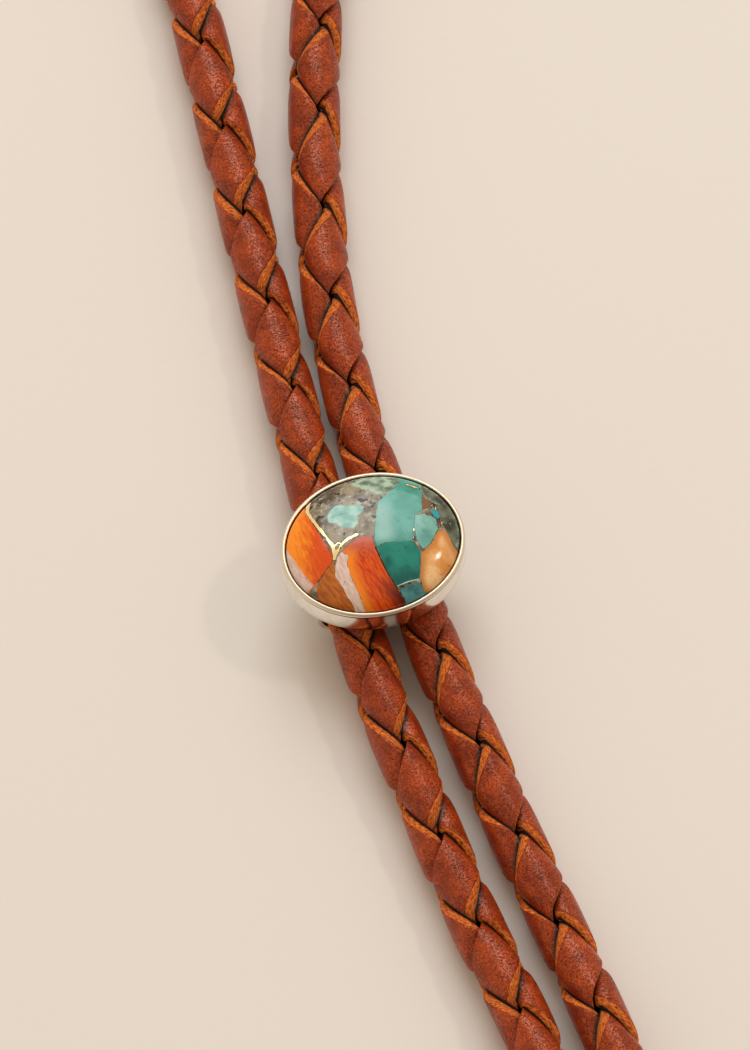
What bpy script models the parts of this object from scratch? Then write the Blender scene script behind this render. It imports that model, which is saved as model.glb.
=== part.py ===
"""Bolo tie: a braided leather cord, doubled, drawn together by an oval silver slide with a cabochon.

Metres, +Z up. The tie lies on z = 0, with its origin under the middle of the slide. +Y runs along the
cords towards the neck loop, and +X along the long axis of the oval. Four leather laces make one round
braid: two wind right-handed, two left-handed, and each passes over one lace and under the next.
"""

import math

import bmesh
import bpy
import numpy as np
from mathutils import Vector

# Cord and braid
CORD_DIAMETER = 0.0060
BRAID_PITCH = 0.0230  # length of cord in which a lace goes once round it
SECTIONS_PER_TURN = 12
FIRST_LOBE_Y = -0.0158  # where a right-handed lace crosses the top of the left cord

# The braid twists and stretches a little as it lies. Each point is a distance along the cord from the
# first lobe, and with it how far the top row of lobes leans to the right, in degrees, or how far the
# lobes are moved along.
BRAID_LEAN = [(-0.058, -14), (-0.017, 0), (0.006, 16), (0.028, 19), (0.042, 14), (0.060, -5),
              (0.086, -7), (0.345, -20), (0.372, -20), (0.384, -15), (0.406, -7), (0.464, -4),
              (0.478, 9), (0.506, 10)]
BRAID_SHIFT = [(0.300, 0), (0.372, -0.0022), (0.384, -0.0011), (0.406, -0.0006), (0.452, 0)]

# Section of a lace, as shares of the cord's radius, and its slopes as it dips over and under
LACE_HALF_WIDTH = 0.590
LACE_MIDDLE_WALL = 0.330
LACE_EDGE_WALL = 0.150
LACE_MEAN_RADIUS = 0.641
LACE_DIP = 0.193
LACE_DROOP = 0.456
LACE_DROOP_SWING = -0.197
LACE_TILT = 0.372

# Guide on the back of the slide: one flat silver band bent round both cords
GUIDE_CLEARANCE = 0.0003
GUIDE_WALL = 0.0006
GUIDE_LENGTH = 0.0080
CORD_SPACING = 0.0075
SLIDE_TRAVEL = 0.0080  # how far down the cords the slide can run, where they are kept straight

# Oval cup of the slide
CUP_LENGTH = 0.0205
CUP_WIDTH = 0.0176
CUP_HEIGHT = 0.0035
CUP_WALL = 0.0005
PLATE_THICKNESS = 0.0009
PLATE_SINK = 0.0003  # how far the plate lies into the top of the guide
CUP_FLARE = 0.00015
CUP_BASE_ROUND = 0.0006
CUP_LIP_CHAMFER = 0.00015

# Cabochon
STONE_GAP = 0.00025
STONE_SEAT_GAP = 0.0003
STONE_DOME = 0.0026
STONE_GIRDLE_DROP = 0.0004  # from the lip of the cup down to the edge of the dome
STONE_TOP_ANGLE = math.radians(84)  # how far up the dome its last ring of points stands

# Tips of the two tails
TIP_LENGTH = 0.0300
TIP_WALL = 0.0006
TIP_CLEARANCE = 0.0003
TIP_SOCKET_DEPTH = 0.0085
TIP_TAPER = [(0.55, 0.86), (0.80, 0.64), (0.97, 0.28), (1.00, 0.13)]  # shares of length and radius

# Route of the cord seen from above, from the left tail round the neck to the right tail: x, y
LEFT_TAIL = [(0.0004, -0.0745), (0.0003, -0.0665), (0.0000, -0.0580), (-0.00125, -0.0470),
             (-0.0023, -0.0360), (-0.00305, -0.0250), (-0.0036, -0.0175)]
LEFT_NECK = [(-0.0033, 0.0115), (-0.0028, 0.0183), (-0.0022, 0.0269), (-0.0016, 0.0350),
             (-0.0010, 0.0431), (-0.0003, 0.0513), (0.00035, 0.0595), (0.0010, 0.0678),
             (0.0016, 0.0757)]
NECK_LOOP = [(0.0012, 0.0960), (-0.0032, 0.1155), (-0.0090, 0.1330), (-0.0107, 0.1505),
             (-0.0060, 0.1650), (0.0046, 0.1745), (0.0175, 0.1783), (0.0300, 0.1772),
             (0.0419, 0.1730), (0.0524, 0.1642), (0.0581, 0.1508), (0.0566, 0.1360),
             (0.0478, 0.1200), (0.0356, 0.1062), (0.0241, 0.0912)]
RIGHT_NECK = [(0.0155, 0.0728), (0.0127, 0.0643), (0.0103, 0.0566), (0.0083, 0.0487),
              (0.0065, 0.0408), (0.0051, 0.0330), (0.0043, 0.0250), (0.0037, 0.0170),
              (0.0037, 0.0110)]
RIGHT_TAIL = [(0.0042, -0.0180), (0.0048, -0.0255), (0.0055, -0.0340), (0.0063, -0.0420),
              (0.0071, -0.0500), (0.00775, -0.0580), (0.0087, -0.0672), (0.0098, -0.0760)]

# How the cord's height follows y: level through the guide, down on the surface, up into the tips
LEVEL_ABOVE = 0.006
SETTLED_ABOVE = 0.032
LEVEL_BELOW = -0.013
SETTLED_BELOW = -0.036
TIP_RISE_START = -0.044
TIP_RISE_END = -0.064

ROUTE_STEP = 0.0002
LOOK_AHEAD = 0.0004  # how far along the cord its direction is measured
RIM_SEGMENTS = 32
STONE_RINGS = 6
ROUND_SEGMENTS = 14
SHARP_EDGE = math.radians(40)

CORD_RADIUS = CORD_DIAMETER / 2
GUIDE_BORE = CORD_RADIUS + GUIDE_CLEARANCE
GUIDE_RADIUS = GUIDE_BORE + GUIDE_WALL
TIP_BORE = CORD_RADIUS + TIP_CLEARANCE
TIP_RADIUS = TIP_BORE + TIP_WALL
PLATE_BOTTOM = 2 * GUIDE_RADIUS - PLATE_SINK
CUP_TOP = PLATE_BOTTOM + CUP_HEIGHT

LEATHER = (0.30, 0.085, 0.032)
SILVER = (0.86, 0.84, 0.80)
STONE = (0.16, 0.40, 0.33)


def clear_scene():
    for obj in list(bpy.data.objects):
        bpy.data.objects.remove(obj)


def material(name, colour, roughness, metallic):
    made = bpy.data.materials.new(name)
    made.use_nodes = True
    shader = made.node_tree.nodes["Principled BSDF"]
    shader.inputs["Base Color"].default_value = (*colour, 1)
    shader.inputs["Roughness"].default_value = roughness
    shader.inputs["Metallic"].default_value = metallic
    return made


def skin(name, rings, finish):
    """A closed body through rings of equally many points, with its first and last ring filled."""
    mesh = bmesh.new()
    rows = [[mesh.verts.new(point) for point in ring] for ring in rings]
    for low, high in zip(rows, rows[1:]):
        for i in range(len(low)):
            j = (i + 1) % len(low)
            mesh.faces.new((low[i], low[j], high[j], high[i]))
    mesh.faces.new(rows[0][::-1])
    mesh.faces.new(rows[-1])
    bmesh.ops.recalc_face_normals(mesh, faces=mesh.faces)
    data = bpy.data.meshes.new(name)
    mesh.to_mesh(data)
    mesh.free()
    data.materials.append(finish)
    data.shade_smooth()
    data.set_sharp_from_angle(angle=SHARP_EDGE)
    obj = bpy.data.objects.new(name, data)
    bpy.context.scene.collection.objects.link(obj)
    return obj


def ease(value, start, end):
    """0 at start and 1 at end, smooth at both."""
    share = min(max((value - start) / (end - start), 0), 1)
    return share * share * (3 - 2 * share)


def cord_height(y):
    raised = ease(y, SETTLED_ABOVE, LEVEL_ABOVE) * ease(y, SETTLED_BELOW, LEVEL_BELOW)
    at_tip = ease(y, TIP_RISE_START, TIP_RISE_END)
    return CORD_RADIUS + (GUIDE_RADIUS - CORD_RADIUS) * raised + (TIP_RADIUS - CORD_RADIUS) * at_tip


def spline(points, spacing):
    """Positions, evenly spaced by chord length, on the natural cubic spline through the points."""
    points = np.array(points)
    at = np.concatenate([[0], np.cumsum(np.linalg.norm(np.diff(points, axis=0), axis=1))])
    gap = np.diff(at)
    count = len(points)
    system, turns = np.eye(count), np.zeros_like(points)
    for i in range(1, count - 1):
        system[i, i - 1 : i + 2] = gap[i - 1], 2 * (gap[i - 1] + gap[i]), gap[i]
        turn = (points[i + 1] - points[i]) / gap[i] - (points[i] - points[i - 1]) / gap[i - 1]
        turns[i] = 6 * turn
    bend = np.linalg.solve(system, turns)
    samples = np.arange(0, at[-1], spacing)
    k = np.clip(np.searchsorted(at, samples, side="right") - 1, 0, count - 2)
    before, after, width = samples - at[k], at[k + 1] - samples, gap[k]
    share_before, share_after = (before / width)[:, None], (after / width)[:, None]
    lift = (share_after**3 - share_after) * bend[k] + (share_before**3 - share_before) * bend[k + 1]
    return share_after * points[k] + share_before * points[k + 1] + lift * (width**2)[:, None] / 6


def guide_points(side):
    """The straight stretch of one cord, from the slide's lowest place to where it lies at rest."""
    x = side * CORD_SPACING / 2
    return [(x, -GUIDE_LENGTH / 2 - SLIDE_TRAVEL), (x, -GUIDE_LENGTH / 2), (x, GUIDE_LENGTH / 2)]


def cord_line():
    """Position and distance along the middle of the cord, in small even steps."""
    route = LEFT_TAIL + guide_points(-1) + LEFT_NECK + NECK_LOOP + RIGHT_NECK
    route += guide_points(1)[::-1] + RIGHT_TAIL
    flat = spline(route, ROUTE_STEP)
    line = np.array([(x, y, cord_height(y)) for x, y in flat])
    along = np.concatenate([[0], np.cumsum(np.linalg.norm(np.diff(line, axis=0), axis=1))])
    return line, along


def cord_planes():
    """Where the laces' sections stand: distance from the first lobe, middle, side and up of each."""
    line, along = cord_line()
    first = np.argmax(line[:, 1] > FIRST_LOBE_Y)
    step = BRAID_PITCH / SECTIONS_PER_TURN
    count_before = math.floor(along[first] / step)
    count_after = math.floor((along[-1] - along[first]) / step)
    planes = []
    for i in range(-count_before, count_after + 1):
        at = along[first] + i * step + np.interp(i * step, *zip(*BRAID_SHIFT))
        middle = Vector([np.interp(at, along, line[:, k]) for k in range(3)])
        before = Vector([np.interp(at - LOOK_AHEAD, along, line[:, k]) for k in range(3)])
        after = Vector([np.interp(at + LOOK_AHEAD, along, line[:, k]) for k in range(3)])
        ahead = (after - before).normalized()
        side = ahead.cross(Vector((0, 0, 1))).normalized()
        planes.append((i * step, middle, side, side.cross(ahead)))
    return planes


def lace_section(phase):
    """Points of a lace's section, as (round the cord, away from it), from its outer left corner.

    At phase 0 the lace lies over another, at a quarter turn it lies under the next one, and between
    them one edge is over and the other under.
    """
    over, leaning = math.cos(2 * phase), math.sin(2 * phase)
    droop = LACE_DROOP + LACE_DROOP_SWING * over
    left, right = droop - LACE_TILT * leaning, droop + LACE_TILT * leaning
    middle = Vector((0, LACE_MEAN_RADIUS + LACE_DIP * over))
    left_edge = middle - LACE_HALF_WIDTH * Vector((math.cos(left), math.sin(left)))
    right_edge = middle + LACE_HALF_WIDTH * Vector((math.cos(right), -math.sin(right)))
    corners = []
    for place, a, b, wall in ((left_edge, left_edge, middle, LACE_EDGE_WALL),
                              (middle, left_edge, right_edge, LACE_MIDDLE_WALL),
                              (right_edge, middle, right_edge, LACE_EDGE_WALL)):
        out = Vector((a.y - b.y, b.x - a.x)).normalized()
        corners.append((place + out * wall / 2, place - out * wall / 2))
    outer, inner = zip(*corners)
    return [*outer, *inner[::-1]]


def make_lace(name, planes, left_handed, half_turn, finish):
    """One strand of the braid, from end to end of the cord."""
    rings = []
    for along, middle, side, up in planes:
        phase = 2 * math.pi * along / BRAID_PITCH
        turn = phase + (math.pi if half_turn else 0)
        section = lace_section(phase + (math.pi / 2 if left_handed else 0))
        hand = -1 if left_handed else 1
        column = math.radians(np.interp(along, *zip(*BRAID_LEAN)))
        ring = []
        for across, out in section:
            x = hand * (across * math.cos(turn) + out * math.sin(turn))
            y = out * math.cos(turn) - across * math.sin(turn)
            right = x * math.cos(column) + y * math.sin(column)
            high = y * math.cos(column) - x * math.sin(column)
            ring.append(middle + CORD_RADIUS * (right * side + high * up))
        rings.append(ring)
    return skin(name, rings, finish)


def oval(grow, z, half_length, half_width):
    turns = [2 * math.pi * i / RIM_SEGMENTS for i in range(RIM_SEGMENTS)]
    return [Vector(((half_length + grow) * math.cos(t), (half_width + grow) * math.sin(t), z))
            for t in turns]


def make_cup(finish):
    """Back plate and bezel wall of the slide, open at the top for the stone."""
    steps = [(CUP_FLARE - CUP_BASE_ROUND * (1 - math.sin(t)),
              PLATE_BOTTOM + CUP_BASE_ROUND * (1 - math.cos(t)))
             for t in (0, math.pi / 4, math.pi / 2)]
    steps += [(0, PLATE_BOTTOM + CUP_HEIGHT / 2),
              (0, CUP_TOP - CUP_LIP_CHAMFER),
              (-CUP_LIP_CHAMFER, CUP_TOP),
              (CUP_LIP_CHAMFER - CUP_WALL, CUP_TOP),
              (-CUP_WALL, CUP_TOP - CUP_LIP_CHAMFER),
              (-CUP_WALL, PLATE_BOTTOM + PLATE_THICKNESS)]
    rings = [oval(grow, z, CUP_LENGTH / 2, CUP_WIDTH / 2) for grow, z in steps]
    return skin("slide_setting", rings, finish)


def band_outline(name, radius, length):
    """A prism along Y with half round sides, whose flat top and bottom span both cords."""
    quarter = [math.pi * i / (ROUND_SEGMENTS // 2) for i in range(ROUND_SEGMENTS // 2 + 1)]
    turns = [(side, t if side > 0 else t + math.pi) for side in (1, -1) for t in quarter]
    rings = []
    for y in (-length / 2, length / 2):
        rings.append([Vector((side * CORD_SPACING / 2 + radius * math.sin(t), y,
                              GUIDE_RADIUS + radius * math.cos(t))) for side, t in turns])
    return skin(name, rings, None)


def join_or_cut(target, tool, operation):
    tool.hide_render = True
    tool.display_type = "WIRE"
    tool.hide_set(True)
    boolean = target.modifiers.new(tool.name, "BOOLEAN")
    boolean.operation = operation
    boolean.solver = "EXACT"
    boolean.object = tool


def make_slide(finish):
    """The silver slide: cup, plate and the guide band soldered under it."""
    slide = make_cup(finish)
    join_or_cut(slide, band_outline("band_outside", GUIDE_RADIUS, GUIDE_LENGTH), "UNION")
    join_or_cut(slide, band_outline("band_inside", GUIDE_BORE, 2 * GUIDE_LENGTH), "DIFFERENCE")
    return slide


def make_stone(finish):
    """Domed oval stone, a little off the plate and the wall of its cup."""
    half_length = CUP_LENGTH / 2 - CUP_WALL - STONE_GAP
    half_width = CUP_WIDTH / 2 - CUP_WALL - STONE_GAP
    base = PLATE_BOTTOM + PLATE_THICKNESS + STONE_SEAT_GAP
    girdle = CUP_TOP - STONE_GIRDLE_DROP
    rings = [oval(0, base, half_length, half_width)]
    for i in range(STONE_RINGS):
        climb = STONE_TOP_ANGLE * i / (STONE_RINGS - 1)
        height = girdle + STONE_DOME * math.sin(climb)
        rings.append(oval(0, height, half_length * math.cos(climb), half_width * math.cos(climb)))
    return skin("cabochon", rings, finish)


def make_tip(name, plane, outwards, finish):
    """A silver sleeve over the end of a tail, closed to a rounded point."""
    _, end, side, up = plane
    ahead = side.cross(up) * -outwards
    mouth = end - ahead * TIP_SOCKET_DEPTH
    floor = TIP_SOCKET_DEPTH + TIP_CLEARANCE
    steps = [(TIP_BORE, floor), (TIP_BORE, 0), (TIP_RADIUS, 0), (TIP_RADIUS, floor)]
    steps += [(share * TIP_RADIUS, far * TIP_LENGTH) for far, share in TIP_TAPER]
    rings = []
    for radius, at in steps:
        turns = [2 * math.pi * (i + 0.5) / ROUND_SEGMENTS for i in range(ROUND_SEGMENTS)]
        rings.append([mouth + ahead * at + radius * (side * math.sin(t) + up * math.cos(t))
                      for t in turns])
    return skin(name, rings, finish)


def main():
    clear_scene()
    leather = material("leather", LEATHER, roughness=0.55, metallic=0)
    silver = material("silver", SILVER, roughness=0.18, metallic=1)
    stone = material("stone", STONE, roughness=0.15, metallic=0)
    planes = cord_planes()
    make_lace("lace_1", planes, False, False, leather)
    make_lace("lace_2", planes, False, True, leather)
    make_lace("lace_3", planes, True, False, leather)
    make_lace("lace_4", planes, True, True, leather)
    make_slide(silver)
    make_stone(stone)
    make_tip("tip_left", planes[0], -1, silver)
    make_tip("tip_right", planes[-1], 1, silver)


main()
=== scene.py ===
# %% [markdown]
# # Dressing a bolo tie
# A bolo tie is a braided leather cord with two metal tips, drawn together by an ornament that slides.
# The imported CAD model gives its sizes and its moving parts. This file builds the looks round it: four
# flat leather laces, a polished silver setting, a composite stone and two tips.
# The CAD model is loaded first. Nothing built here may change the size.

# %% Load the imported model
import math

import bpy
import numpy as np
from mathutils import Matrix, Vector


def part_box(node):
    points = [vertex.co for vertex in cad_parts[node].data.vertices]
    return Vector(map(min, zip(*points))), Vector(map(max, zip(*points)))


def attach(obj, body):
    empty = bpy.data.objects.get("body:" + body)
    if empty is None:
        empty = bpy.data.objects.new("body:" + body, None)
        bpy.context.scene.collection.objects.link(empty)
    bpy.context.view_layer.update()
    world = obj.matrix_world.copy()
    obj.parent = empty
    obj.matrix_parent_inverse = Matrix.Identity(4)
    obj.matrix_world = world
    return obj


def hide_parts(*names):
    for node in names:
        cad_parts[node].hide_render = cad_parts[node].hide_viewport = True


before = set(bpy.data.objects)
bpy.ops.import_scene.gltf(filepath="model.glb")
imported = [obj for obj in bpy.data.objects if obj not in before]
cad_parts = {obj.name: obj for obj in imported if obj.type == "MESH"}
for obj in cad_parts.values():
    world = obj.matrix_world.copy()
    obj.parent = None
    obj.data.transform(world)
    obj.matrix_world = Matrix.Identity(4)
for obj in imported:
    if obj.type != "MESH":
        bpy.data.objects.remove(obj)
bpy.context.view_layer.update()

# %% [markdown]
# ## The camera
# The photo looks down on the tie from the front, 63 degrees above the table and 17 degrees to the
# left. A long lens from far away keeps the two cords nearly parallel, as the photo does. One could drag
# a camera about until it looks right, but here its place is worked out: the middle of the slide's rim
# has to show at a known pixel, and a millimetre there has to be 9.1 pixels long.

# %% Camera
PHOTO_WIDTH, PHOTO_HEIGHT = 750, 1050
VIEW_AZIMUTH, VIEW_ELEVATION = math.radians(-17), math.radians(63)
VIEW_DISTANCE = 0.9
PIXELS_PER_METRE = 9100
RIM_MIDDLE_PIXEL = (373, 543.5)
SENSOR_MM = 36

rim_middle = Vector((0, 0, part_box("slide_setting")[1].z))
view_back = Vector((math.sin(VIEW_AZIMUTH) * math.cos(VIEW_ELEVATION),
                    -math.cos(VIEW_AZIMUTH) * math.cos(VIEW_ELEVATION), math.sin(VIEW_ELEVATION)))
view_right = Vector((math.cos(VIEW_AZIMUTH), math.sin(VIEW_AZIMUTH), 0))
view_up = view_back.cross(view_right)
off_right = (PHOTO_WIDTH / 2 - RIM_MIDDLE_PIXEL[0]) / PIXELS_PER_METRE
off_up = (RIM_MIDDLE_PIXEL[1] - PHOTO_HEIGHT / 2) / PIXELS_PER_METRE

bpy.ops.object.camera_add()
camera = bpy.context.object
camera.name = "photo_camera"
camera.location = rim_middle + view_back * VIEW_DISTANCE + view_right * off_right + view_up * off_up
camera.rotation_mode = "QUATERNION"
camera.rotation_quaternion = view_back.to_track_quat("Z", "Y")
camera.data.sensor_width = SENSOR_MM
camera.data.lens = SENSOR_MM * PIXELS_PER_METRE * VIEW_DISTANCE / PHOTO_HEIGHT
camera.data.clip_start, camera.data.clip_end = 0.05, 20
bpy.context.scene.camera = camera
print("lens", round(camera.data.lens), "mm")

# %% [markdown]
# ## Floor and light
# The tie lies on a warm, pale tabletop. A large soft window behind it gives the broad sheen on the
# leather and the stone, a small lamp on the right gives the one sharp glint, and a bright surround
# fills the shadows. Soft light comes from big lamps, so the window is an area light nearly a metre wide.
# The surround is dimmer on the side where the photographer stands, and that gives the silver something
# dark to mirror.

# %% Floor and light
FLOOR_LIGHT, FLOOR_DARK = (0.83, 0.765, 0.70), (0.82, 0.75, 0.682)
FLOOR_SIZE = 6
SURROUND_BRIGHT, SURROUND_DIM = (0.74, 0.645, 0.525), (0.12, 0.10, 0.08)
DIM_BELOW, BRIGHT_ABOVE = -1.0, -0.2  # shares of y in a direction; -1 points at the photographer
# Name, direction from the slide, distance and size in metres, watts and colour of each lamp
LAMPS = [("window", (0.17, 0.65, 0.74), 1.3, 0.9, 7.8, (0.91, 1.0, 1.10)),
         ("lamp", (0.64, -0.02, 0.77), 1.1, 0.08, 1.0, (1.0, 0.94, 0.86))]


def fresh_object(add, **settings):
    """Adds a primitive with nothing else selected, and returns it as the active object."""
    bpy.ops.object.select_all(action="DESELECT")
    add(**settings)
    return bpy.context.object


def area_light(name, direction, distance, size, watts, colour):
    """A square soft lamp that looks at the slide from that direction."""
    lamp = fresh_object(bpy.ops.object.light_add, type="AREA")
    lamp.name = name
    lamp.location = rim_middle + Vector(direction).normalized() * distance
    lamp.rotation_mode = "QUATERNION"
    lamp.rotation_quaternion = Vector(direction).to_track_quat("Z", "Y")
    lamp.data.size = size
    lamp.data.energy = watts
    lamp.data.color = colour


floor = fresh_object(bpy.ops.mesh.primitive_plane_add, size=FLOOR_SIZE)
floor.name = "tabletop"
for lamp in LAMPS:
    area_light(*lamp)
world = bpy.data.worlds.new("studio")
bpy.context.scene.world = world
world.use_nodes = True
world_nodes, world_links = world.node_tree.nodes, world.node_tree.links
direction = world_nodes.new("ShaderNodeTexCoord")
parts = world_nodes.new("ShaderNodeSeparateXYZ")
dimmer = world_nodes.new("ShaderNodeMapRange")
dimmer.interpolation_type = "SMOOTHSTEP"
dimmer.inputs["From Min"].default_value = DIM_BELOW
dimmer.inputs["From Max"].default_value = BRIGHT_ABOVE
blend = world_nodes.new("ShaderNodeMix")
blend.data_type = "RGBA"
blend.inputs[6].default_value, blend.inputs[7].default_value = (*SURROUND_DIM, 1), (*SURROUND_BRIGHT, 1)
world_links.new(direction.outputs["Generated"], parts.inputs[0])
world_links.new(parts.outputs["Y"], dimmer.inputs["Value"])
world_links.new(dimmer.outputs[0], blend.inputs[0])
world_links.new(blend.outputs[2], world_nodes["Background"].inputs["Color"])
bpy.context.scene.view_settings.view_transform = "Standard"
print("two soft lamps and a surround that is dimmer in front")

# %% [markdown]
# ## A short way to write materials
# A material is a graph of nodes. Placing and linking each node by hand takes several lines, so this
# small class adds a node, sets its sockets and links it in one call. Colours are written as they look
# on a screen, from 0 to 255, and are changed to the linear numbers that the shader works with.

# %% Material helper


def screen(red, green, blue):
    """A colour as seen on a screen, as the linear colour that a shader takes."""
    shares = (value / 255 for value in (red, green, blue))
    return (*(s / 12.92 if s < 0.04045 else ((s + 0.055) / 1.055) ** 2.4 for s in shares), 1)


class Finish:
    """A material whose nodes are added and wired in one call each."""

    def __init__(self, name):
        self.material = bpy.data.materials.new(name)
        self.material.use_nodes = True
        self.tree = self.material.node_tree
        self.shader = self.tree.nodes["Principled BSDF"]
        self.place = self.add("TexCoord", output="Object")

    def add(self, kind, sockets=None, output=0, **settings):
        node = self.tree.nodes.new("ShaderNode" + kind)
        for name, value in settings.items():
            setattr(node, name, value)
        for name, value in (sockets or {}).items():
            self.wire(node.inputs[name], value)
        return node.outputs[output]

    def wire(self, socket, value):
        if isinstance(value, bpy.types.NodeSocket):
            self.tree.links.new(value, socket)
        else:
            socket.default_value = value

    def set(self, **sockets):
        """Sets or links sockets of the main shader, such as Base_Color for its Base Color."""
        for name, value in sockets.items():
            self.wire(self.shader.inputs[name.replace("_", " ")], value)

    def attribute(self, name, output="Fac"):
        return self.add("Attribute", output=output, attribute_name=name)

    def noise(self, scale, detail=3, vector=None):
        return self.add("TexNoise", {"Vector": vector or self.place, "Scale": scale, "Detail": detail})

    def stretched(self, vector, scale):
        return self.add("Mapping", {"Vector": vector, "Scale": scale})

    def fade(self, value, low, high):
        """0 at the value low, 1 at the value high, smooth between. Low may be the larger of the two."""
        return self.add("MapRange", {"Value": value, "From Min": low, "From Max": high},
                        interpolation_type="SMOOTHSTEP")

    def math(self, operation, first, second=0.0):
        return self.add("Math", {0: first, 1: second}, operation=operation)

    def mix(self, share, first, second):
        """The first colour where the share is 0, the second where it is 1."""
        return self.add("Mix", {0: share, 6: first, 7: second}, output=2, data_type="RGBA")

    def bump(self, height, distance, strength=1.0, normal=None):
        sockets = {"Height": height, "Distance": distance, "Strength": strength}
        if normal:
            sockets["Normal"] = normal
        return self.add("Bump", sockets)


table = Finish("pale_tabletop")
table_tone = table.noise(9, 4)
table.set(Base_Color=table.mix(table_tone, (*FLOOR_DARK, 1), (*FLOOR_LIGHT, 1)), Roughness=0.9,
          Normal=table.bump(table.noise(900, 2), 0.00002))
table.set(Specular_IOR_Level=0.2)
floor.data.materials.append(table.material)
print("tabletop material made")

# %% [markdown]
# ## The route of the cord
# The cord is doubled: it runs up the left side, round the neck and back down the right side. The same
# few points as in the CAD source give its route, and a natural cubic spline joins them, since that is
# the curve a springy cord takes through fixed points. Its height follows y: it lies on the table, is
# lifted a little through the slide, and again into the thicker tips. The braid also twists and
# stretches a little as it lies, which two short lists say, read off the photo lobe by lobe.

# %% Route of the cord
CORD_RADIUS = 0.0030
BRAID_PITCH = 0.0230
SECTIONS_PER_TURN = 12
FIRST_LOBE_Y = -0.0158
BRAID_LEAN = [(-0.058, -14), (-0.017, 0), (0.006, 16), (0.028, 19), (0.042, 14), (0.060, -5),
              (0.086, -7), (0.345, -20), (0.372, -20), (0.384, -15), (0.406, -7), (0.464, -4),
              (0.478, 9), (0.506, 10)]  # metres along the cord, and degrees to its right
BRAID_SHIFT = [(0.300, 0), (0.372, -0.0022), (0.384, -0.0011), (0.406, -0.0006), (0.452, 0)]
CORD_SPACING = 0.0075
GUIDE_LENGTH, GUIDE_WALL, GUIDE_CLEARANCE = 0.0080, 0.0006, 0.0003
SLIDE_TRAVEL = 0.0080
TIP_WALL, TIP_CLEARANCE = 0.0006, 0.0003
GUIDE_RADIUS = CORD_RADIUS + GUIDE_CLEARANCE + GUIDE_WALL
TIP_RADIUS = CORD_RADIUS + TIP_CLEARANCE + TIP_WALL
LEFT_TAIL = [(0.0004, -0.0745), (0.0003, -0.0665), (0.0000, -0.0580), (-0.00125, -0.0470),
             (-0.0023, -0.0360), (-0.00305, -0.0250), (-0.0036, -0.0175)]
LEFT_NECK = [(-0.0033, 0.0115), (-0.0028, 0.0183), (-0.0022, 0.0269), (-0.0016, 0.0350),
             (-0.0010, 0.0431), (-0.0003, 0.0513), (0.00035, 0.0595), (0.0010, 0.0678),
             (0.0016, 0.0757)]
NECK_LOOP = [(0.0012, 0.0960), (-0.0032, 0.1155), (-0.0090, 0.1330), (-0.0107, 0.1505),
             (-0.0060, 0.1650), (0.0046, 0.1745), (0.0175, 0.1783), (0.0300, 0.1772),
             (0.0419, 0.1730), (0.0524, 0.1642), (0.0581, 0.1508), (0.0566, 0.1360),
             (0.0478, 0.1200), (0.0356, 0.1062), (0.0241, 0.0912)]
RIGHT_NECK = [(0.0155, 0.0728), (0.0127, 0.0643), (0.0103, 0.0566), (0.0083, 0.0487),
              (0.0065, 0.0408), (0.0051, 0.0330), (0.0043, 0.0250), (0.0037, 0.0170),
              (0.0037, 0.0110)]
RIGHT_TAIL = [(0.0042, -0.0180), (0.0048, -0.0255), (0.0055, -0.0340), (0.0063, -0.0420),
              (0.0071, -0.0500), (0.00775, -0.0580), (0.0087, -0.0672), (0.0098, -0.0760)]
LEVEL_ABOVE, SETTLED_ABOVE = 0.006, 0.032
LEVEL_BELOW, SETTLED_BELOW = -0.013, -0.036
TIP_RISE_START, TIP_RISE_END = -0.044, -0.064
ROUTE_STEP, LOOK_AHEAD = 0.0002, 0.0004  # between route points, and to measure a direction


def ease(value, start, end):
    """0 at start and 1 at end, smooth at both, for one number or many."""
    share = np.clip((value - start) / (end - start), 0, 1)
    return share * share * (3 - 2 * share)


def spline(points):
    """Positions, evenly spaced by chord length, on the natural cubic spline through the points."""
    points = np.array(points)
    at = np.concatenate([[0], np.cumsum(np.linalg.norm(np.diff(points, axis=0), axis=1))])
    gap = np.diff(at)
    count = len(points)
    system, turns = np.eye(count), np.zeros_like(points)
    for i in range(1, count - 1):
        system[i, i - 1 : i + 2] = gap[i - 1], 2 * (gap[i - 1] + gap[i]), gap[i]
        turn = (points[i + 1] - points[i]) / gap[i] - (points[i] - points[i - 1]) / gap[i - 1]
        turns[i] = 6 * turn
    bend = np.linalg.solve(system, turns)
    samples = np.arange(0, at[-1], ROUTE_STEP)
    k = np.clip(np.searchsorted(at, samples, side="right") - 1, 0, count - 2)
    before, after, width = samples - at[k], at[k + 1] - samples, gap[k]
    share_before, share_after = (before / width)[:, None], (after / width)[:, None]
    lift = (share_after**3 - share_after) * bend[k] + (share_before**3 - share_before) * bend[k + 1]
    return share_after * points[k] + share_before * points[k + 1] + lift * (width**2)[:, None] / 6


def straight_stretch(side):
    """The points of one cord where the slide runs."""
    x = side * CORD_SPACING / 2
    return [(x, -GUIDE_LENGTH / 2 - SLIDE_TRAVEL), (x, -GUIDE_LENGTH / 2), (x, GUIDE_LENGTH / 2)]


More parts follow.
